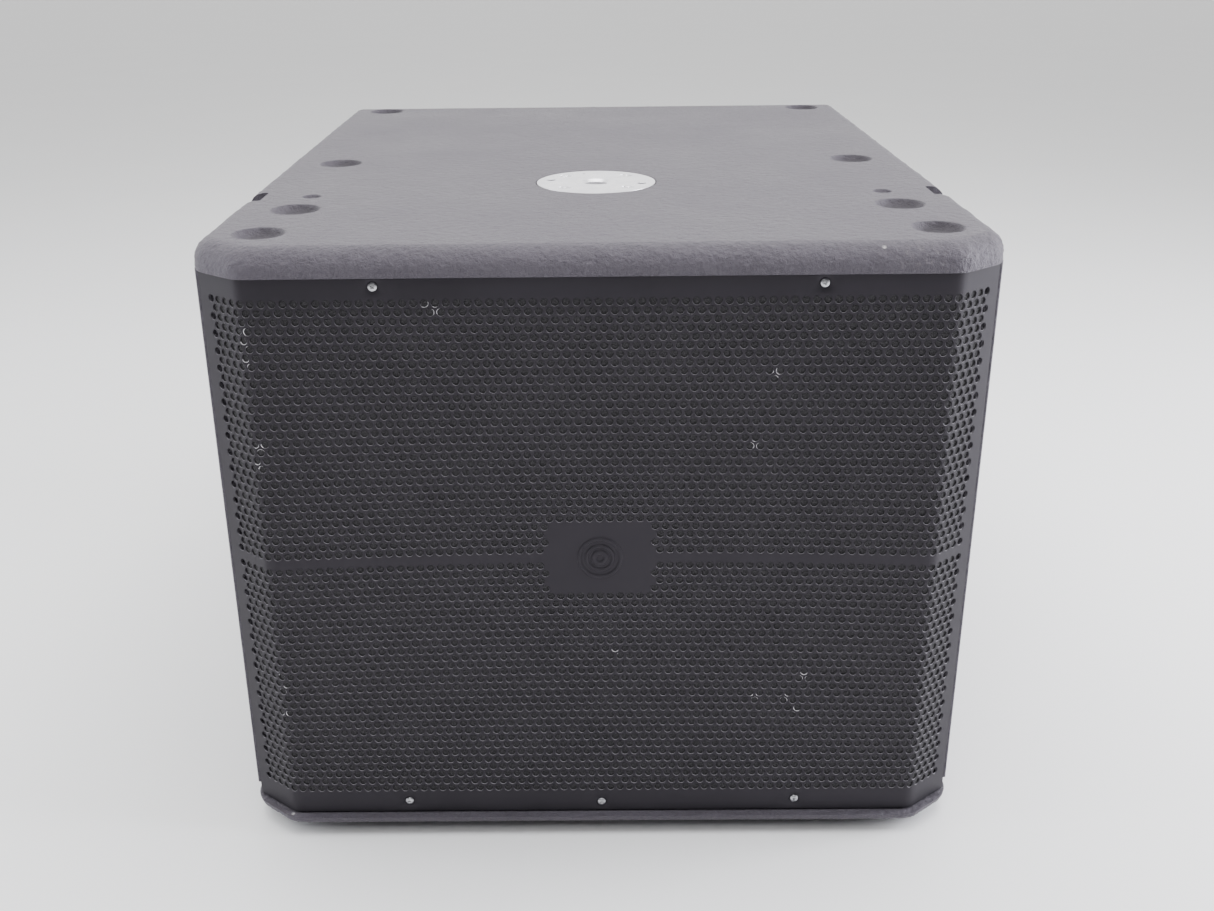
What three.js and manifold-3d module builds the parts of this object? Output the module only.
// A ported 18-inch subwoofer cabinet of the touring kind: a plywood box with a chamfered front, a bent
// steel grille, a pole mount on top, stacking dimples and feet, side handles and let-in rigging channels.
// Millimetres, +Z up, the grille faces -Y. The origin is on the floor under the middle of the cabinet.

import * as THREE from 'three';
import { mergeVertices } from 'three/addons/utils/BufferGeometryUtils.js';
import Module from 'manifold-3d';

const wasm = await Module();
wasm.setup();

// ---- driving dimensions ----------------------------------------------------------------------

const GAP = 0.3;          // clearance between pieces that touch
const PILOT = 0.4;        // radial clearance of a drilled hole round its screw
const PAST = 1;           // how far a cutter runs past the face that it cuts
const LAP = 2;            // how far two shapes that are joined run into each other

const WIDTH = 597;
const DEPTH = 749;
const BOX_HEIGHT = 497;   // the cabinet without its feet
const FOOT_HEIGHT = 11;
const SIDE = WIDTH / 2;
const FRONT = -DEPTH / 2;
const REAR = DEPTH / 2;
const BASE = FOOT_HEIGHT;
const TOP = FOOT_HEIGHT + BOX_HEIGHT;

const BOARD = {
  top: 21,                // the lip over the grille is the full thickness of the top board
  bottom: 18,
  side: 25,
  rear: 18,
  baffle: 18,
  divider: 12,
  brace: 18,
};
const LIP = {
  overhang: 7,            // how far the lips stand in front of the grille
  bottomHeight: 8.5,
  flatHalf: 260.7,        // half the straight part of the front edge
  chamferRun: 29.1,       // how far back the chamfered corners reach
  bullnose: 18,
  underEdge: 1.2,         // chamfer along the underside of the top lip
  bottomEdge: 0.6,
  sideRound: 12,
  bottomRound: 8,
  cornerFront: 22,        // plan radii of the corners
  cornerSide: 30,
  cornerRear: 14,
};
const CLEAT = { half: 250, depth: 18, height: 16, topHeight: 22 };

const GRILLE = {
  plane: FRONT + LIP.overhang,
  sheet: 1.6,
  flatHalf: 260,
  wingRunX: 35,           // the wings go back and outward from the flat front
  wingRunY: 27,
  wingEnd: 3.5,           // gap between the wings' ends and the side boards
  foam: 6,
  foamWing: 30,           // length of foam behind each wing
  foamMargin: 16,
  bow: 9.5,               // how far the flat front is pressed in at its middle
  bowHalf: 252,           // half width of the pressed area
  bowShare: 0.44,         // half height of the pressed area, as a share of the grille's height
  bowColumns: 16,
  bowRows: 12,
};
const GRILLE_SCREW = {
  shank: 1.7,
  head: 4,
  headHeight: 2,
  length: 14,
  asideX: 162.5,
  topDrop: 28.5,
  bottomRise: 20,
  middleRise: 18,
};

const INNER_SIDE = SIDE - BOARD.side;
const INNER_LOW = BASE + BOARD.bottom + GAP;
const INNER_HIGH = TOP - BOARD.top - GAP;
const INNER_REAR = REAR - BOARD.rear;

const DIMPLE = { radius: 20, depth: 6, rows: [[253.5, -317], [244.2, -231.8], [245, -20.4], [253.5, 341.5]] };
const LOCATOR = { radius: 8, depth: 3, x: 241, y: -180.5 };
const FOOT = { topRadius: 19, bottomRadius: 15.5, edge: 1.5 };

const POLE = {
  y: -125.5,
  plateRadius: 52.4,
  plateThickness: 5.7,
  plateEdge: 0.6,
  boreRadius: 10,
  rimRadius: 13,
  rimDepth: 1.5,
  tubeRadius: 18,
  tubeLength: 70,
  tubeFloor: 4,
  screwCircle: 38.5,
  spareCircle: 41,
  spareRadius: 4,
  spareAngle: 167,
  markRadius: 1.4,        // a small locating hole
  markX: -11,
  markRise: 38,
};
const POLE_SCREW = {
  shank: 2.4,
  head: 5.2,
  headEdge: 0.4,
  sink: 2.8,
  sinkPlay: 0.6,
  seat: 0.2,              // how far the head lies below the plate's face
  length: 16,
};

const RIG = {
  y: -179,
  half: 16.5,             // half the width of the channel along the cabinet
  depth: 17,
  wall: 3,
  lipWall: 2.5,
  slotHalf: 8,            // half the opening between the channel's return lips
  topDrop: 12.5,          // the channel stops short of the boards' rounded edges
  bottomRise: 9,
  stop: 6,                // height of the ledge that the link rests on
};
const LINK = { thickness: 6, half: 12.5, length: 150, topDrop: 6, holeRadius: 4.6, holeDrop: 20 };
const PIN = { z: 40, shank: 4, nose: 3, taper: 1.5, knob: 7, knobLength: 8.5, edge: 1, socketPlay: 1 };

const HANDLE = {
  y: 75,
  z: 300,
  length: 186,
  height: 96,
  depth: 62,
  wall: 3,
  rim: 13,                // width of the flange round the pocket
  rimWall: 3,
  corner: 14,
  bar: 11.5,
  barRise: 16,
  barInset: 15,
};

const WOOFER = {
  z: (INNER_LOW + INNER_HIGH) / 2,
  baffleFront: -318,
  holeRadius: 208.5,
  rearPlane: -184,        // back face of the basket, where the magnet system starts
  boltCircle: 220,
  bolts: 8,
};
const BASKET = {
  flangeRadius: 227,
  flangeThickness: 7.7,
  rim: 200,               // inner radius of the flange
  bowl: 206.5,            // outer radius of the bowl at the flange
  throat: 203,
  throatY: -300,
  knee: 150,
  kneeY: -214,
  seatY: -196,
  skin: 4,                // thickness of the bowl between its legs
  wall: 6,
  seatEdge: 5,
  seatRadius: 125,        // the flat seat of the magnet system
  opening: 62,
  windows: 8,
  windowInner: 120,
  windowOuter: 240,
  windowHalfInner: 34,
  windowHalfOuter: 80,
  windowBack: -220,
  windowDepth: 76,
};
const SURROUND = { outer: 212, inner: 172, roll: 191, rollRadius: 9.5, sheet: 1.5, glue: 11 };
const GASKET = { inner: 203, outer: 213, thickness: 3.5 };
const CONE = { rim: 184, shoulder: 171, depth: 88, flare: 0.18, wall: 1.5 };
const CAP = { radius: 70, rise: 26, wall: 1.4, sunk: 1 };
const COIL = { radius: 50, wall: 1.4, overhang: 14, lap: 8 };
const SPIDER = {
  outer: 117,
  ledge: 107,
  firstRoll: 104,
  rollPitch: 6,
  rolls: 9,
  y: -197,
  rollHeight: 1.6,
  sheet: 1,
};
const MAGNET = {
  radius: 110,
  bore: 57,
  thickness: 30,
  plateRadius: 105,
  topPlate: 10,
  backPlate: 12,
  poleGap: 0.8,
  coilGap: 1.2,
  vent: 12,
};
const BOLT = { shank: 3, head: 5.4, headHeight: 4, length: 24 };
const LEAD = { radius: 3, terminalRadius: 118, sides: 8, steps: 28 };

const PORT_LENGTH = 190;
const BAFFLE_HALF = 243;
const BRACE = { front: 215, rear: 295, rise: 30 };

const INPUT = {
  z: 150,
  width: 124,
  height: 104,
  corner: 8,
  thickness: 2.5,
  recess: 8,
  cutWidth: 96,
  cutHeight: 76,
  cutCorner: 4,
  screwX: 54,
  screwZ: 44,
};
const SOCKET = {
  x: 24,
  flangeWidth: 32,
  flangeHeight: 34,
  flangeWall: 3,
  barrel: 13.5,
  bore: 11,
  post: 4.5,
  postDrop: 4,
  length: 34,
  floor: 6,
};
const INPUT_SCREW = { shank: 2, head: 4, headHeight: 2, length: 13 };

// ---- materials -------------------------------------------------------------------------------

function finish(color, roughness, metalness) {
  return new THREE.MeshStandardMaterial({ color, roughness, metalness });
}

const FINISH = {
  paint: finish('#35343a', 0.75, 0),
  bareWood: finish('#3a332c', 0.85, 0),
  grille: finish('#3d3c41', 0.5, 0.35),
  foam: finish('#161618', 1, 0),
  blackSteel: finish('#2a2a2c', 0.45, 0.7),
  brightSteel: finish('#c9c7cb', 0.3, 0.95),
  aluminium: finish('#dcdae0', 0.28, 0.9),
  rubber: finish('#1c1c1e', 0.9, 0),
  plastic: finish('#232326', 0.6, 0),
  casting: finish('#6f7074', 0.5, 0.6),
  paper: finish('#2b2a2a', 0.9, 0),
  cloth: finish('#8f7a4c', 0.9, 0),
  ferrite: finish('#4a4a4e', 0.6, 0.3),
  copper: finish('#b8743c', 0.35, 0.9),
};

// ---- solids ----------------------------------------------------------------------------------

// A closed three.js geometry as a manifold solid, with its faces turned outward.
function solid(geometry) {
  const bare = geometry.clone();
  bare.deleteAttribute('normal');
  bare.deleteAttribute('uv');
  const merged = mergeVertices(bare, 1e-3);
  const corners = merged.getAttribute('position').array;
  const faces = [];
  for (let i = 0; i < merged.index.count; i += 3) {
    const [a, b, c] = merged.index.array.slice(i, i + 3);
    if (a !== b && b !== c && c !== a) faces.push([a, b, c]);
  }
  const corner = (index) => new THREE.Vector3().fromArray(corners, 3 * index);
  const volume = faces.reduce((sum, [a, b, c]) => sum + corner(a).dot(corner(b).cross(corner(c))), 0);
  const outward = volume > 0 ? faces : faces.map(([a, b, c]) => [a, c, b]);
  return new wasm.Manifold(new wasm.Mesh({
    numProp: 3,
    vertProperties: new Float32Array(corners),
    triVerts: new Uint32Array(outward.flat()),
  }));
}

function geometryOf(body) {
  const mesh = body.getMesh();
  const geometry = new THREE.BufferGeometry();
  geometry.setAttribute('position', new THREE.BufferAttribute(new Float32Array(mesh.vertProperties), 3));
  geometry.setIndex(new THREE.BufferAttribute(new Uint32Array(mesh.triVerts), 1));
  return geometry;
}

// A block given by its low and high faces along each axis.
function block([x0, x1], [y0, y1], [z0, z1]) {
  const box = new THREE.BoxGeometry(x1 - x0, y1 - y0, z1 - z0);
  return solid(box.translate((x0 + x1) / 2, (y0 + y1) / 2, (z0 + z1) / 2));
}

// A plan outline drawn in X and Y, raised from z0 to z1.
function raise(points, z0, z1) {
  const shape = new THREE.Shape(points);
  const prism = new THREE.ExtrudeGeometry(shape, { depth: z1 - z0, bevelEnabled: false });
  return solid(prism.translate(0, 0, z0));
}

// A turned body about a vertical axis: its profile points are [radius, z].
function turnedUpright(profile, segments = 24, x = 0, y = 0) {
  const lathe = new THREE.LatheGeometry(profile.map(([r, z]) => new THREE.Vector2(r, z)), segments);
  return solid(lathe.rotateX(Math.PI / 2).translate(x, y, 0));
}

// A turned body about an axis along Y: its profile points are [radius, y].
function turnedAlongY(profile, segments = 24, x = 0, z = 0) {
  const lathe = new THREE.LatheGeometry(profile.map(([r, y]) => new THREE.Vector2(r, y)), segments);
  return solid(lathe.translate(x, 0, z));
}

// A turned body about an axis along X: its profile points are [radius, x].
function turnedAlongX(profile, segments = 24, y = 0, z = 0) {
  const lathe = new THREE.LatheGeometry(profile.map(([r, x]) => new THREE.Vector2(r, -x)), segments);
  return solid(lathe.rotateZ(Math.PI / 2).translate(0, y, z));
}

function rod(radius, low, high) {
  return [[0, low], [radius, low], [radius, high], [0, high]];
}

function ring(inner, outer, low, high) {
  return [[inner, low], [outer, low], [outer, high], [inner, high], [inner, low]];
}

function cutAll(body, cutters) {
  return cutters.reduce((left, cutter) => left.subtract(cutter), body);
}

// A polygon whose corners are replaced by arcs of their own radius.
function filleted(corners, steps = 4) {
  const count = corners.length;
  return corners.flatMap(({ at, radius }, index) => {
    const back = corners[(index + count - 1) % count].at.clone().sub(at).normalize();
    const ahead = corners[(index + 1) % count].at.clone().sub(at).normalize();
    const half = Math.acos(back.dot(ahead)) / 2;
    const middle = back.clone().add(ahead).normalize().multiplyScalar(radius / Math.sin(half)).add(at);
    const start = back.clone().multiplyScalar(radius / Math.tan(half)).add(at).sub(middle);
    const sweep = Math.PI - 2 * half;
    return Array.from({ length: steps + 1 }, (_, k) => {
      const turn = sweep * k / steps;
      return start.clone().rotateAround(new THREE.Vector2(), turn).add(middle);
    });
  });
}

function roundedRectangle(halfWidth, halfHeight, radius, steps = 4) {
  const signs = [[-1, -1], [1, -1], [1, 1], [-1, 1]];
  const corners = signs.map(([sx, sy]) => new THREE.Vector2(sx * halfWidth, sy * halfHeight));
  return filleted(corners.map((at) => ({ at, radius })), steps);
}

// A slab whose outline changes from ring to ring. Each ring has its own height and the same number of
// points.
function loft(rings) {
  const count = rings[0].points.length;
  const position = rings.flatMap(({ z, points }) => points.flatMap((point) => [point.x, point.y, z]));
  const index = [];
  for (let level = 0; level + 1 < rings.length; level += 1) {
    for (let k = 0; k < count; k += 1) {
      const a = level * count + k;
      const b = level * count + (k + 1) % count;
      index.push(a, b, b + count, a, b + count, a + count);
    }
  }
  const last = (rings.length - 1) * count;
  for (const [a, b, c] of THREE.ShapeUtils.triangulateShape(rings[0].points, [])) index.push(c, b, a);
  for (const [a, b, c] of THREE.ShapeUtils.triangulateShape(rings.at(-1).points, [])) {
    index.push(last + a, last + b, last + c);
  }
  const geometry = new THREE.BufferGeometry();
  geometry.setAttribute('position', new THREE.Float32BufferAttribute(position, 3));
  geometry.setIndex(index);
  return solid(geometry);
}

// A thin slab over a grid: position holds its front layer of points, row by row, and then its back layer.
function gridSlab(position, columns, rows) {
  const at = (layer, row, column) => (layer * rows + row) * columns + column;
  const index = [];
  const quad = (a, b, c, d) => index.push(a, b, c, a, c, d);
  const strip = (row, column, nextRow, nextColumn) => quad(
    at(0, row, column),
    at(0, nextRow, nextColumn),
    at(1, nextRow, nextColumn),
    at(1, row, column),
  );
  const lastRow = rows - 1;
  const lastColumn = columns - 1;
  for (let row = 0; row < lastRow; row += 1) {
    for (let column = 0; column < lastColumn; column += 1) {
      quad(at(0, row, column), at(0, row, column + 1), at(0, row + 1, column + 1), at(0, row + 1, column));
      quad(at(1, row, column), at(1, row + 1, column), at(1, row + 1, column + 1), at(1, row, column + 1));
    }
    strip(row + 1, lastColumn, row, lastColumn);
    strip(row, 0, row + 1, 0);
  }
  for (let column = 0; column < lastColumn; column += 1) {
    strip(0, column + 1, 0, column);
    strip(lastRow, column, lastRow, column + 1);
  }
  const geometry = new THREE.BufferGeometry();
  geometry.setAttribute('position', new THREE.Float32BufferAttribute(position, 3));
  geometry.setIndex(index);
  return solid(geometry);
}

// ---- the assembly ----------------------------------------------------------------------------

const cabinet = new THREE.Group();
cabinet.name = 'subwoofer_cabinet';

function add(name, body, material, place = [0, 0, 0], turn = 0) {
  const mesh = new THREE.Mesh(body instanceof THREE.BufferGeometry ? body : geometryOf(body), material);
  mesh.name = name;
  mesh.position.set(...place);
  mesh.rotation.z = turn;
  cabinet.add(mesh);
}

const SIDES = [['left', -1], ['right', 1]];

// ---- top and bottom boards -------------------------------------------------------------------

// The plan of the top and bottom boards, drawn in from their widest by one amount along the front and
// the chamfers, and another along the sides and the rear.
function boardPlan(frontInset, sideInset) {
  const rise = Math.atan2(LIP.chamferRun, SIDE - LIP.flatHalf);
  const front = FRONT + frontInset;
  const side = SIDE - sideInset;
  const onFront = LIP.flatHalf - frontInset * Math.tan(rise / 2);
  const shift = frontInset / Math.cos(rise);
  const onSide = FRONT + LIP.chamferRun + shift - sideInset * Math.tan(rise);
  const rear = REAR - sideInset;
  const corner = (x, y, radius) => ({ at: new THREE.Vector2(x, y), radius });
  return filleted([
    corner(-onFront, front, LIP.cornerFront),
    corner(onFront, front, LIP.cornerFront),
    corner(side, onSide, LIP.cornerSide - sideInset),
    corner(side, rear, LIP.cornerRear - sideInset),
    corner(-side, rear, LIP.cornerRear - sideInset),
    corner(-side, onSide, LIP.cornerSide - sideInset),
  ]);
}

// How far a quarter-round edge draws in at a height above the start of its curve.
function roundInset(radius, height) {
  if (height <= 0) return 0;
  return radius - Math.sqrt(Math.max(0, radius ** 2 - height ** 2));
}

function dimpleCutter(radius, depth, x, y) {
  const bowl = [[0, -depth], [0.55, -depth], [0.88, -0.62 * depth], [1, 0], [1, 2], [0, 2]];
  return turnedUpright(bowl.map(([r, z]) => [r * radius, TOP + z]), 18, x, y);
}

function rigNotches(z0, z1) {
  const span = [RIG.y - RIG.half - GAP, RIG.y + RIG.half + GAP];
  return SIDES.map(([, s]) => {
    const inner = s * (SIDE - RIG.depth - GAP);
    const outer = s * (SIDE + PAST);
    return block([Math.min(inner, outer), Math.max(inner, outer)], span, [z0, z1]);
  });
}

const grilleScrewPlaces = [
  [-GRILLE_SCREW.asideX, TOP - GRILLE_SCREW.topDrop],
  [GRILLE_SCREW.asideX, TOP - GRILLE_SCREW.topDrop],
  [-GRILLE_SCREW.asideX, BASE + GRILLE_SCREW.bottomRise],
  [GRILLE_SCREW.asideX, BASE + GRILLE_SCREW.bottomRise],
  [0, BASE + GRILLE_SCREW.middleRise],
];

function grilleScrewHoles() {
  const reach = GRILLE.plane + GRILLE_SCREW.length + LAP;
  return grilleScrewPlaces.map(([x, z]) => (
    turnedAlongY(rod(GRILLE_SCREW.shank + PILOT, FRONT - PAST, reach), 12, x, z)
  ));
}

const polePlateFloor = TOP - POLE.plateThickness - GAP;
const poleScrewPlaces = [45, 135, 225, 315].map((angle) => {
  const radians = THREE.MathUtils.degToRad(angle);
  return [POLE.screwCircle * Math.cos(radians), POLE.y + POLE.screwCircle * Math.sin(radians)];
});

function topBoard() {
  const under = TOP - BOARD.top;
  const curveFoot = TOP - LIP.bullnose;
  const levels = [0, 1, 2, 3, 4, 5].map((step) => LIP.bullnose * Math.sin(step * Math.PI / 10));
  const rings = [
    { z: under, points: boardPlan(LIP.underEdge, 0) },
    { z: under + LIP.underEdge, points: boardPlan(0, 0) },
    ...levels.map((level) => ({
      z: curveFoot + level,
      points: boardPlan(
        roundInset(LIP.bullnose, level),
        roundInset(LIP.sideRound, level - LIP.bullnose + LIP.sideRound),
      ),
    })),
  ];
  const cleatFront = GRILLE.plane + GRILLE.sheet + GRILLE.foam + 2 * GAP;
  const cleat = block(
    [-CLEAT.half, CLEAT.half],
    [cleatFront, cleatFront + CLEAT.depth],
    [under - CLEAT.topHeight, under + LAP],
  );
  const plateSeat = turnedUpright(rod(POLE.plateRadius + GAP, polePlateFloor, TOP + PAST), 48, 0, POLE.y);
  const tubeHole = turnedUpright(rod(POLE.tubeRadius + GAP, under - PAST, TOP), 32, 0, POLE.y);
  const screwHoles = poleScrewPlaces.map(([x, y]) => (
    turnedUpright(rod(POLE_SCREW.shank + PILOT, TOP - POLE_SCREW.length - PAST, TOP), 12, x, y)
  ));
  const dimples = DIMPLE.rows.flatMap(([x, y]) => SIDES.map(([, s]) => (
    dimpleCutter(DIMPLE.radius, DIMPLE.depth, s * x, y)
  )));
  const locators = SIDES.map(([, s]) => (
    dimpleCutter(LOCATOR.radius, LOCATOR.depth, s * LOCATOR.x, LOCATOR.y)
  ));
  return cutAll(loft(rings).add(cleat), [
    plateSeat,
    tubeHole,
    ...screwHoles,
    ...dimples,
    ...locators,
    ...rigNotches(under - PAST, TOP + PAST),
    ...grilleScrewHoles(),
  ]);
}

function bottomBoard() {
  const lipTop = BASE + LIP.bottomHeight;
  const stepIn = LIP.overhang + GRILLE.sheet + GRILLE.foam + 2 * GAP;
  const levels = [0, 1, 2, 3, 4].map((step) => LIP.bottomRound * (1 - Math.cos(step * Math.PI / 8)));
  const curve = levels.map((level) => {
    const inset = roundInset(LIP.bottomRound, LIP.bottomRound - level);
    return { z: BASE + level, points: boardPlan(inset, inset) };
  });
  const rings = [
    ...curve,
    { z: lipTop, points: boardPlan(LIP.bottomEdge, 0) },
    { z: lipTop, points: boardPlan(stepIn, 0) },
    { z: BASE + BOARD.bottom, points: boardPlan(stepIn, 0) },
  ];
  const cleatFront = FRONT + stepIn;
  const cleat = block(
    [-CLEAT.half, CLEAT.half],
    [cleatFront + GAP, cleatFront + CLEAT.depth],
    [BASE + BOARD.bottom - LAP, BASE + BOARD.bottom + CLEAT.height],
  );
  return cutAll(loft(rings).add(cleat), [
    ...rigNotches(BASE - PAST, BASE + BOARD.bottom + PAST),
    ...grilleScrewHoles(),
  ]);
}

add('top_panel', topBoard(), FINISH.paint);
add('bottom_panel', bottomBoard(), FINISH.paint);

// ---- sides, rear, baffle, ports and brace ------------------------------------------------------

// Everything on the right-hand side is drawn once. The left-hand one is turned half round about the
// vertical line through the piece's own place, which carries it to the other side.
const SIDE_FRONT = GRILLE.plane + GRILLE.wingRunY + GRILLE.wingEnd;

// The outline of the handle's pocket, made larger all round by an amount, from x0 to x1.
function handleBlank(grow, corner, x0, x1) {
  const outline = roundedRectangle(HANDLE.length / 2 + grow, HANDLE.height / 2 + grow, corner);
  const shape = new THREE.Shape(outline);
  const prism = new THREE.ExtrudeGeometry(shape, { depth: x1 - x0, bevelEnabled: false });
  return solid(prism.rotateX(Math.PI / 2).rotateZ(Math.PI / 2).translate(x0, 0, 0));
}

function sideBoard(s) {
  const corner = (x, y, radius) => ({ at: new THREE.Vector2(x, y), radius });
  const plan = filleted([
    corner(INNER_SIDE, SIDE_FRONT, 0.5),
    corner(SIDE, SIDE_FRONT, 1.5),
    corner(SIDE, REAR, LIP.cornerRear),
    corner(INNER_SIDE, REAR, 0.5),
  ]);
  const groove = block(
    [SIDE - RIG.depth - GAP, SIDE + PAST],
    [RIG.y - RIG.half - GAP, RIG.y + RIG.half + GAP],
    [BASE, TOP],
  );
  const pinHole = turnedAlongX(rod(PIN.shank + PIN.socketPlay, INNER_SIDE + LAP, SIDE), 12, RIG.y, PIN.z);
  const cup = handleBlank(GAP, HANDLE.corner, INNER_SIDE - PAST, SIDE + PAST);
  const seat = handleBlank(
    HANDLE.rim + GAP,
    HANDLE.corner + HANDLE.rim,
    SIDE - HANDLE.rimWall - GAP,
    SIDE + PAST,
  );
  const pocket = cup.add(seat).translate(0, HANDLE.y, HANDLE.z);
  const right = cutAll(raise(plan, INNER_LOW, INNER_HIGH), [groove, pinHole, pocket]);
  return s > 0 ? right : right.mirror([1, 0, 0]);
}

for (const [side, s] of SIDES) add(`side_panel_${side}`, sideBoard(s), FINISH.paint);

function inputOutline(halfWidth, halfHeight, radius, y0, y1) {
  const prism = new THREE.ExtrudeGeometry(
    new THREE.Shape(roundedRectangle(halfWidth, halfHeight, radius, 3)),
    { depth: y1 - y0, bevelEnabled: false },
  );
  return solid(prism.rotateX(Math.PI / 2).translate(0, y1, INPUT.z));
}

const inputScrewPlaces = [[-1, -1], [1, -1], [-1, 1], [1, 1]].map(([sx, sz]) => (
  [sx * INPUT.screwX, INPUT.z + sz * INPUT.screwZ]
));
const inputSeat = REAR - INPUT.recess;
const inputFace = inputSeat + GAP + INPUT.thickness;

function rearBoard() {
  const half = INNER_SIDE - GAP;
  const board = block([-half, half], [INNER_REAR, REAR], [INNER_LOW, INNER_HIGH]);
  const [halfWidth, halfHeight] = [INPUT.width / 2 + GAP, INPUT.height / 2 + GAP];
  const seat = inputOutline(halfWidth, halfHeight, INPUT.corner, inputSeat, REAR + PAST);
  const cut = inputOutline(INPUT.cutWidth / 2, INPUT.cutHeight / 2, INPUT.cutCorner, INNER_REAR - PAST, REAR);
  const pilots = inputScrewPlaces.map(([x, z]) => (
    turnedAlongY(rod(INPUT_SCREW.shank + PILOT, INNER_REAR - PAST, REAR), 12, x, z)
  ));
  return cutAll(board, [seat, cut, ...pilots]);
}

const boltPlaces = Array.from({ length: WOOFER.bolts }, (_, k) => {
  const angle = (k + 0.5) * 2 * Math.PI / WOOFER.bolts;
  return [WOOFER.boltCircle * Math.cos(angle), WOOFER.z + WOOFER.boltCircle * Math.sin(angle)];
});

function boltHoles(low, high) {
  return boltPlaces.map(([x, z]) => turnedAlongY(rod(BOLT.shank + PILOT, low, high), 12, x, z));
}

function baffleBoard() {
  const back = WOOFER.baffleFront + BOARD.baffle;
  const board = block([-BAFFLE_HALF, BAFFLE_HALF], [WOOFER.baffleFront, back], [INNER_LOW, INNER_HIGH]);
  const hole = rod(WOOFER.holeRadius, WOOFER.baffleFront - PAST, back + PAST);
  const opening = turnedAlongY(hole, 48, 0, WOOFER.z);
  return cutAll(board, [opening, ...boltHoles(WOOFER.baffleFront - PAST, back + PAST)]);
}

function divider(s) {
  const start = WOOFER.baffleFront + BOARD.baffle + GAP;
  const x = [s * BAFFLE_HALF, s * (BAFFLE_HALF - BOARD.divider)].sort((a, b) => a - b);
  return block(x, [start, start + PORT_LENGTH], [INNER_LOW, INNER_HIGH]);
}

function brace() {
  const half = INNER_SIDE - GAP;
  const z = HANDLE.z + BRACE.rise;
  return block([-half, half], [BRACE.front, BRACE.rear], [z - BOARD.brace / 2, z + BOARD.brace / 2]);
}

add('rear_panel', rearBoard(), FINISH.paint);
add('baffle_board', baffleBoard(), FINISH.bareWood);
for (const [side, s] of SIDES) add(`port_divider_${side}`, divider(s), FINISH.bareWood);
add('cross_brace', brace(), FINISH.bareWood);

// ---- grille, foam and screws -------------------------------------------------------------------

const wing = Math.hypot(GRILLE.wingRunX, GRILLE.wingRunY);
const grilleLow = BASE + LIP.bottomHeight + GAP;
const grilleHigh = TOP - BOARD.top - GAP;
const grilleMiddle = (grilleLow + grilleHigh) / 2;
const bowHeight = GRILLE.bowShare * (grilleHigh - grilleLow);

// How far the flat front is pressed in at a place on it.
function bow(x, z) {
  const across = Math.max(0, 1 - (x / GRILLE.bowHalf) ** 2);
  const up = Math.max(0, 1 - ((z - grilleMiddle) / bowHeight) ** 2);
  return GRILLE.bow * across * up;
}

// Evenly spaced values from -half to half.
function spread(half, steps) {
  return Array.from({ length: steps + 1 }, (_, k) => half * (2 * k / steps - 1));
}

// The bent line of the grille at a height, a distance behind its front face, out to a length along the
// wings.
function grilleLine(behind, wingLength, z) {
  const angle = Math.atan2(GRILLE.wingRunY, GRILLE.wingRunX);
  const bendX = GRILLE.flatHalf - behind * Math.tan(angle / 2);
  const endX = GRILLE.flatHalf + wingLength * Math.cos(angle) - behind * Math.sin(angle);
  const bendY = GRILLE.plane + behind;
  const endY = GRILLE.plane + wingLength * Math.sin(angle) + behind * Math.cos(angle);
  const pressed = spread(GRILLE.bowHalf, GRILLE.bowColumns).map((x) => [x, bendY + bow(x, z), z]);
  return [[-endX, endY, z], [-bendX, bendY, z], ...pressed, [bendX, bendY, z], [endX, endY, z]];
}

// A bent sheet between two distances behind the grille's front face.
function bentSheet(near, far, wingLength, z0, z1) {
  const levels = [z0, ...spread(bowHeight, GRILLE.bowRows).map((z) => grilleMiddle + z), z1];
  const layer = (behind) => levels.flatMap((z) => grilleLine(behind, wingLength, z));
  const columns = GRILLE.bowColumns + 5;
  return gridSlab([...layer(near), ...layer(far)].flat(), columns, levels.length);
}

const foamNear = GRILLE.sheet + GAP;
const foamFar = foamNear + GRILLE.foam;
const foamLow = grilleLow + GRILLE.foamMargin;
const foamHigh = grilleHigh - GRILLE.foamMargin;
const grille = bentSheet(0, GRILLE.sheet, wing, grilleLow, grilleHigh);
add('grille', cutAll(grille, grilleScrewHoles()), FINISH.grille);
add('grille_foam', bentSheet(foamNear, foamFar, GRILLE.foamWing, foamLow, foamHigh), FINISH.foam);

// A pan-head screw along +Y: the underside of its head is at y = 0 and its shank goes back from there.
function panScrew({ shank, head, headHeight, length }) {
  return geometryOf(turnedAlongY([
    [0, -headHeight],
    [0.7 * head, -headHeight],
    [head, -0.4 * headHeight],
    [head, 0],
    [shank, 0],
    [shank, length],
    [0, length],
  ], 10));
}

const grilleScrew = panScrew(GRILLE_SCREW);
grilleScrewPlaces.forEach(([x, z], k) => {
  add(`grille_screw_${k + 1}`, grilleScrew, FINISH.brightSteel, [x, GRILLE.plane - GAP, z]);
});

// ---- pole mount ------------------------------------------------------------------------------

const spareAngle = THREE.MathUtils.degToRad(POLE.spareAngle);
const spareX = POLE.spareCircle * Math.cos(spareAngle);
const spareY = POLE.spareCircle * Math.sin(spareAngle);

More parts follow.
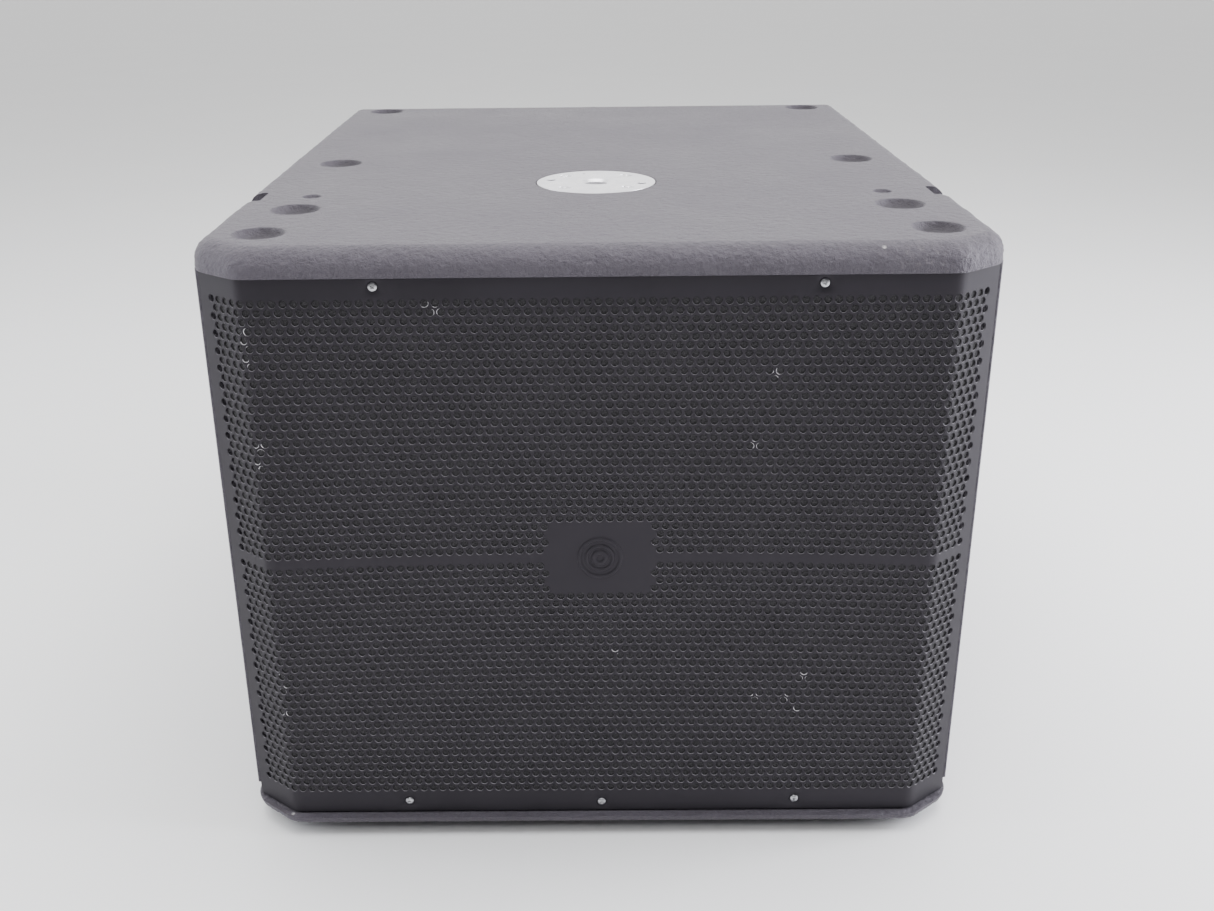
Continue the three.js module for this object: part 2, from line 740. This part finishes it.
function polePlate() {
  const low = TOP - POLE.plateThickness;
  const rim = POLE.plateRadius;
  const body = turnedUpright([
    [0, low],
    [rim, low],
    [rim, TOP - POLE.plateEdge],
    [rim - POLE.plateEdge, TOP],
    [0, TOP],
  ], 48, 0, POLE.y);
  const bore = turnedUpright([
    [0, low - PAST],
    [POLE.boreRadius, low - PAST],
    [POLE.boreRadius, TOP - POLE.rimDepth],
    [POLE.rimRadius, TOP],
    [POLE.rimRadius, TOP + PAST],
    [0, TOP + PAST],
  ], 24, 0, POLE.y);
  const sinks = poleScrewPlaces.map(([x, y]) => turnedUpright([
    [0, low - PAST],
    [POLE_SCREW.shank + PILOT, low - PAST],
    [POLE_SCREW.shank + PILOT, TOP - POLE_SCREW.sink - POLE_SCREW.sinkPlay],
    [POLE_SCREW.head + PILOT, TOP - POLE_SCREW.seat],
    [POLE_SCREW.head + PILOT, TOP + PAST],
    [0, TOP + PAST],
  ], 12, x, y));
  const spares = [1, -1].map((s) => (
    turnedUpright(rod(POLE.spareRadius, low - PAST, TOP + PAST), 16, s * spareX, POLE.y + s * spareY)
  ));
  const markHole = rod(POLE.markRadius, low - PAST, TOP + PAST);
  const mark = turnedUpright(markHole, 10, POLE.markX, POLE.y + POLE.markRise);
  return cutAll(body, [bore, ...sinks, ...spares, mark]);
}

function poleSocket() {
  const high = polePlateFloor - GAP;
  const low = high - POLE.tubeLength;
  return turnedUpright([
    [0, low],
    [POLE.tubeRadius, low],
    [POLE.tubeRadius, high],
    [POLE.boreRadius, high],
    [POLE.boreRadius, low + POLE.tubeFloor],
    [0, low + POLE.tubeFloor],
  ], 24, 0, POLE.y);
}

add('pole_plate', polePlate(), FINISH.aluminium);
add('pole_socket', poleSocket(), FINISH.brightSteel);

// A countersunk screw standing upright: the top of its head is at z = 0.
const poleScrew = geometryOf(turnedUpright([
  [0, -POLE_SCREW.length],
  [POLE_SCREW.shank, -POLE_SCREW.length],
  [POLE_SCREW.shank, -POLE_SCREW.sink],
  [POLE_SCREW.head, -POLE_SCREW.headEdge],
  [POLE_SCREW.head, 0],
  [0, 0],
], 12));
poleScrewPlaces.forEach(([x, y], k) => {
  add(`pole_plate_screw_${k + 1}`, poleScrew, FINISH.aluminium, [x, y, TOP - POLE_SCREW.seat]);
});

// ---- feet --------------------------------------------------------------------------------------

const foot = geometryOf(turnedUpright([
  [0, 0],
  [FOOT.bottomRadius - FOOT.edge, 0],
  [FOOT.bottomRadius, FOOT.edge],
  [FOOT.topRadius, FOOT_HEIGHT - GAP],
  [0, FOOT_HEIGHT - GAP],
], 20));
const footRows = [DIMPLE.rows[0], DIMPLE.rows.at(-1)];
footRows.flatMap(([x, y]) => SIDES.map(([, s]) => [s * x, y, 0])).forEach((place, k) => {
  add(`foot_${k + 1}`, foot, FINISH.rubber, place);
});

// ---- woofer ------------------------------------------------------------------------------------

const flangeBack = WOOFER.baffleFront - GAP;
const flangeFront = flangeBack - BASKET.flangeThickness;

// The cast frame: a flange, a bowl with windows between its legs, and a flat seat for the magnet system.
function basket() {
  const rear = WOOFER.rearPlane;
  const shell = turnedAlongY([
    [BASKET.flangeRadius, flangeFront],
    [BASKET.flangeRadius, flangeBack],
    [BASKET.bowl, flangeBack],
    [BASKET.throat, BASKET.throatY],
    [BASKET.knee, BASKET.kneeY],
    [BASKET.seatRadius, BASKET.seatY],
    [BASKET.seatRadius, rear],
    [BASKET.opening, rear],
    [BASKET.opening, rear - BASKET.wall],
    [BASKET.seatRadius - BASKET.seatEdge, rear - BASKET.wall],
    [BASKET.knee - BASKET.skin, BASKET.kneeY - BASKET.skin],
    [BASKET.throat - BASKET.skin, BASKET.throatY - BASKET.skin],
    [BASKET.rim, flangeFront],
    [BASKET.flangeRadius, flangeFront],
  ], 40, 0, WOOFER.z);
  const window = new THREE.Shape([
    new THREE.Vector2(BASKET.windowInner, -BASKET.windowHalfInner),
    new THREE.Vector2(BASKET.windowOuter, -BASKET.windowHalfOuter),
    new THREE.Vector2(BASKET.windowOuter, BASKET.windowHalfOuter),
    new THREE.Vector2(BASKET.windowInner, BASKET.windowHalfInner),
  ]);
  const cutters = Array.from({ length: BASKET.windows }, (_, k) => {
    const prism = new THREE.ExtrudeGeometry(window, { depth: BASKET.windowDepth, bevelEnabled: false });
    prism.rotateX(Math.PI / 2).rotateY(k * 2 * Math.PI / BASKET.windows);
    return solid(prism.translate(0, BASKET.windowBack, WOOFER.z));
  });
  return cutAll(shell, [...cutters, ...boltHoles(flangeFront - PAST, flangeBack + PAST)]);
}

function arc(centreR, centreY, radius, from, to, steps) {
  return Array.from({ length: steps + 1 }, (_, k) => {
    const angle = THREE.MathUtils.degToRad(from + (to - from) * k / steps);
    return [centreR + radius * Math.cos(angle), centreY + radius * Math.sin(angle)];
  });
}

const surroundBack = flangeFront - GAP;
const surroundFront = surroundBack - SURROUND.sheet;

// A half-roll surround between a flat glued to the basket and a flat glued to the cone.
function surround() {
  const inside = SURROUND.rollRadius - SURROUND.sheet;
  return turnedAlongY([
    [SURROUND.outer, surroundBack],
    [SURROUND.outer, surroundFront],
    ...arc(SURROUND.roll, surroundFront, SURROUND.rollRadius, 360, 180, 5),
    [SURROUND.inner, surroundFront],
    [SURROUND.inner, surroundBack],
    [SURROUND.inner + SURROUND.glue, surroundBack],
    ...arc(SURROUND.roll, surroundFront, inside, 180, 360, 5),
    [SURROUND.roll + inside, surroundBack],
    [SURROUND.outer, surroundBack],
  ], 32, 0, WOOFER.z);
}

const coneRim = surroundBack + GAP;
const coilOuter = COIL.radius + COIL.wall;
const neck = { radius: coilOuter + GAP, y: coneRim + CONE.depth };

// The front face of the cone at a radius: a straight slope with a slight flare.
function coneFace(r) {
  const along = (CONE.shoulder - r) / (CONE.shoulder - neck.radius);
  return coneRim + CONE.depth * (along + CONE.flare * Math.sin(Math.PI * along));
}

function cone() {
  const radii = [0, 0.25, 0.5, 0.75, 1].map((share) => (
    THREE.MathUtils.lerp(CONE.shoulder, neck.radius, share)
  ));
  return turnedAlongY([
    [CONE.rim, coneRim],
    ...radii.map((r) => [r, coneFace(r)]),
    ...radii.toReversed().map((r) => [r, coneFace(r) + 2 * CONE.wall]),
    [CONE.rim, coneRim + CONE.wall],
    [CONE.rim, coneRim],
  ], 36, 0, WOOFER.z);
}

function dustCap() {
  const seat = coneFace(CAP.radius) - CAP.sunk;
  const dome = (lift) => [1, 0.8, 0.5, 0].map((part) => (
    [part * CAP.radius, seat - lift - CAP.rise * (1 - part ** 2)]
  ));
  return turnedAlongY([...dome(CAP.wall), ...dome(0).reverse(), dome(CAP.wall)[0]], 28, 0, WOOFER.z);
}

// The corrugated suspension between the basket's seat and the voice coil.
function spider() {
  const wave = Array.from({ length: SPIDER.rolls }, (_, k) => [
    SPIDER.firstRoll - SPIDER.rollPitch * k,
    SPIDER.y + (k % 2 ? SPIDER.rollHeight : -SPIDER.rollHeight),
  ]);
  const back = WOOFER.rearPlane - BASKET.wall - GAP;
  const front = back - SPIDER.sheet;
  return turnedAlongY([
    [SPIDER.outer, front],
    [SPIDER.ledge, front],
    ...wave.map(([r, y]) => [r, y - SPIDER.sheet]),
    ...wave.toReversed(),
    [SPIDER.ledge, back],
    [SPIDER.outer, back],
    [SPIDER.outer, front],
  ], 24, 0, WOOFER.z);
}

const plateFront = WOOFER.rearPlane + GAP;
const plateBack = plateFront + MAGNET.topPlate;
const magnetBack = plateBack + GAP + MAGNET.thickness;

// The back plate and the vented pole piece that stands on it inside the coil.
function backPlate() {
  const front = magnetBack + GAP;
  const back = front + MAGNET.backPlate;
  const poleRadius = COIL.radius - MAGNET.poleGap;
  return turnedAlongY([
    [MAGNET.vent, plateFront],
    [poleRadius, plateFront],
    [poleRadius, front],
    [MAGNET.plateRadius, front],
    [MAGNET.plateRadius, back],
    [MAGNET.vent, back],
    [MAGNET.vent, plateFront],
  ], 32, 0, WOOFER.z);
}

function turnedRing(inner, outer, low, high) {
  return turnedAlongY(ring(inner, outer, low, high), 36, 0, WOOFER.z);
}

const gasketBack = surroundFront - GAP;
const gasket = turnedRing(GASKET.inner, GASKET.outer, gasketBack - GASKET.thickness, gasketBack);
const coil = turnedRing(COIL.radius, coilOuter, neck.y - COIL.lap, plateBack + COIL.overhang);
const topPlate = turnedRing(coilOuter + MAGNET.coilGap, MAGNET.plateRadius, plateFront, plateBack);
const magnet = turnedRing(MAGNET.bore, MAGNET.radius, plateBack + GAP, magnetBack);
add('woofer_basket', basket(), FINISH.casting);
add('woofer_gasket', gasket, FINISH.foam);
add('woofer_surround', surround(), FINISH.cloth);
add('woofer_cone', cone(), FINISH.paper);
add('dust_cap', dustCap(), FINISH.paper);
add('voice_coil', coil, FINISH.copper);
add('spider', spider(), FINISH.cloth);
add('woofer_top_plate', topPlate, FINISH.blackSteel);
add('woofer_magnet', magnet, FINISH.ferrite);
add('woofer_back_plate', backPlate(), FINISH.blackSteel);

const bolt = panScrew(BOLT);
boltPlaces.forEach(([x, z], k) => {
  add(`woofer_bolt_${k + 1}`, bolt, FINISH.blackSteel, [x, flangeFront - GAP, z]);
});

// ---- inputs and the internal lead ------------------------------------------------------------------

function inputPlate() {
  const low = inputSeat + GAP;
  const plate = inputOutline(INPUT.width / 2, INPUT.height / 2, INPUT.corner, low, inputFace);
  const barrels = [-1, 1].map((s) => (
    turnedAlongY(rod(SOCKET.barrel + GAP, low - PAST, inputFace + PAST), 20, s * SOCKET.x, INPUT.z)
  ));
  const holes = inputScrewPlaces.map(([x, z]) => (
    turnedAlongY(rod(INPUT_SCREW.shank + PILOT, low - PAST, inputFace + PAST), 12, x, z)
  ));
  return cutAll(plate, [...barrels, ...holes]);
}

// A four-pole locking socket: a square flange, a barrel behind it and a post inside the bore. The
// underside of its flange is at y = 0 and its mouth faces +Y.
function inputSocket() {
  const [halfWidth, halfHeight] = [SOCKET.flangeWidth / 2, SOCKET.flangeHeight / 2];
  const mouth = SOCKET.flangeWall;
  const back = mouth - SOCKET.length;
  const flange = block([-halfWidth, halfWidth], [0, mouth], [-halfHeight, halfHeight]);
  const barrel = turnedAlongY(rod(SOCKET.barrel, back, PAST), 20);
  const bore = turnedAlongY(rod(SOCKET.bore, back + SOCKET.floor, mouth + PAST), 16);
  const post = turnedAlongY(rod(SOCKET.post, back + PAST, mouth - SOCKET.postDrop), 8);
  return geometryOf(flange.add(barrel).subtract(bore).add(post));
}

add('input_plate', inputPlate(), FINISH.blackSteel);
const socket = inputSocket();
[-1, 1].forEach((s, k) => {
  add(`input_socket_${k + 1}`, socket, FINISH.plastic, [s * SOCKET.x, inputFace + GAP, INPUT.z]);
});
const inputScrew = panScrew(INPUT_SCREW);
inputScrewPlaces.forEach(([x, z], k) => {
  add(`input_plate_screw_${k + 1}`, inputScrew, FINISH.blackSteel, [x, inputFace + GAP, z], Math.PI);
});

// The lead from an input socket, down past the back of the magnet, to the terminals on the basket.
function lead() {
  const socketBack = inputFace + GAP + SOCKET.flangeWall - SOCKET.length;
  const terminal = new THREE.Vector2(LEAD.terminalRadius, 0).rotateAround(new THREE.Vector2(), -Math.PI / 4);
  const route = new THREE.CatmullRomCurve3([
    [SOCKET.x, socketBack - GAP, INPUT.z],
    [SOCKET.x, socketBack - 30, INPUT.z - 2],
    [50, 180, 90],
    [90, 20, 80],
    [terminal.x + 12, -90, WOOFER.z + terminal.y - 20],
    [terminal.x, -150, WOOFER.z + terminal.y],
    [terminal.x, WOOFER.rearPlane + GAP, WOOFER.z + terminal.y],
  ].map((point) => new THREE.Vector3(...point)));
  const section = new THREE.Shape(Array.from({ length: LEAD.sides }, (_, k) => (
    new THREE.Vector2(LEAD.radius, 0).rotateAround(new THREE.Vector2(), k * 2 * Math.PI / LEAD.sides)
  )));
  return solid(new THREE.ExtrudeGeometry(section, { steps: LEAD.steps, extrudePath: route }));
}

add('speaker_lead', lead(), FINISH.plastic);

// ---- handles -------------------------------------------------------------------------------------

// A pocket handle for the right-hand side: a rim, a cup and a grip bar, about the middle of the rim.
function handle() {
  const outside = SIDE - GAP;
  const back = outside - HANDLE.depth;
  const rim = handleBlank(HANDLE.rim, HANDLE.corner + HANDLE.rim, outside - HANDLE.rimWall, outside);
  const cup = handleBlank(0, HANDLE.corner, back, outside - PAST);
  const hollow = handleBlank(-HANDLE.wall, HANDLE.corner - HANDLE.wall, back + HANDLE.wall, outside + PAST);
  const reach = HANDLE.length / 2 - PAST;
  const bar = turnedAlongY(rod(HANDLE.bar, -reach, reach), 16, outside - HANDLE.barInset, HANDLE.barRise);
  return geometryOf(rim.add(cup).subtract(hollow).add(bar));
}

const handleShape = handle();
add('handle_left', handleShape, FINISH.plastic, [0, HANDLE.y, HANDLE.z], Math.PI);
add('handle_right', handleShape, FINISH.plastic, [0, HANDLE.y, HANDLE.z]);

// ---- rigging -------------------------------------------------------------------------------------

const channelBack = SIDE - RIG.depth;
const channelFace = SIDE - GAP;
const linkBack = channelBack + RIG.wall + GAP;
const linkTop = TOP - LINK.topDrop;

// The steel channel for the right-hand side, about its own middle plane: a C in plan, open outward.
function channel() {
  const outline = [
    [channelBack, -RIG.half],
    [channelFace, -RIG.half],
    [channelFace, -RIG.slotHalf],
    [channelFace - RIG.lipWall, -RIG.slotHalf],
    [channelFace - RIG.lipWall, -RIG.half + RIG.wall],
    [channelBack + RIG.wall, -RIG.half + RIG.wall],
    [channelBack + RIG.wall, RIG.half - RIG.wall],
    [channelFace - RIG.lipWall, RIG.half - RIG.wall],
    [channelFace - RIG.lipWall, RIG.slotHalf],
    [channelFace, RIG.slotHalf],
    [channelFace, RIG.half],
    [channelBack, RIG.half],
  ].map(([x, y]) => new THREE.Vector2(x, y));
  const body = raise(outline, BASE + RIG.bottomRise, TOP - RIG.topDrop);
  const stopTop = linkTop - LINK.length - GAP;
  const stop = block(
    [channelBack + PAST, linkBack + LINK.thickness],
    [-RIG.half + PAST, RIG.half - PAST],
    [stopTop - RIG.stop, stopTop],
  );
  const bore = rod(PIN.shank + PILOT, channelBack - PAST, channelBack + RIG.wall + PAST);
  const pinHole = turnedAlongX(bore, 16, 0, PIN.z);
  return geometryOf(body.add(stop).subtract(pinHole));
}

// The sliding link bar, with a pin hole near its top end.
function link() {
  const linkFace = linkBack + LINK.thickness;
  const bar = block([linkBack, linkFace], [-LINK.half, LINK.half], [linkTop - LINK.length, linkTop]);
  const bore = rod(LINK.holeRadius, linkBack - PAST, linkFace + PAST);
  return geometryOf(bar.subtract(turnedAlongX(bore, 20, 0, linkTop - LINK.holeDrop)));
}

// The spring plunger that locks a link from the cabinet below, parked in the channel's web.
function pin() {
  const knobBack = channelFace - PIN.knobLength;
  return geometryOf(turnedAlongX([
    [0, channelBack - PIN.nose],
    [PIN.shank - PIN.edge, channelBack - PIN.nose],
    [PIN.shank, channelBack - PIN.taper],
    [PIN.shank, knobBack],
    [PIN.knob, knobBack],
    [PIN.knob, channelFace - PIN.edge],
    [PIN.knob - PIN.edge, channelFace],
    [0, channelFace],
  ], 14, 0, PIN.z));
}

const rigging = [['rigging_frame', channel()], ['rigging_link', link()], ['rigging_pin', pin()]];
for (const [name, geometry] of rigging) {
  for (const [side, s] of SIDES) {
    const steel = name === 'rigging_frame' ? FINISH.blackSteel : FINISH.brightSteel;
    add(`${name}_${side}`, geometry, steel, [0, RIG.y, 0], s > 0 ? 0 : Math.PI);
  }
}

export default cabinet;
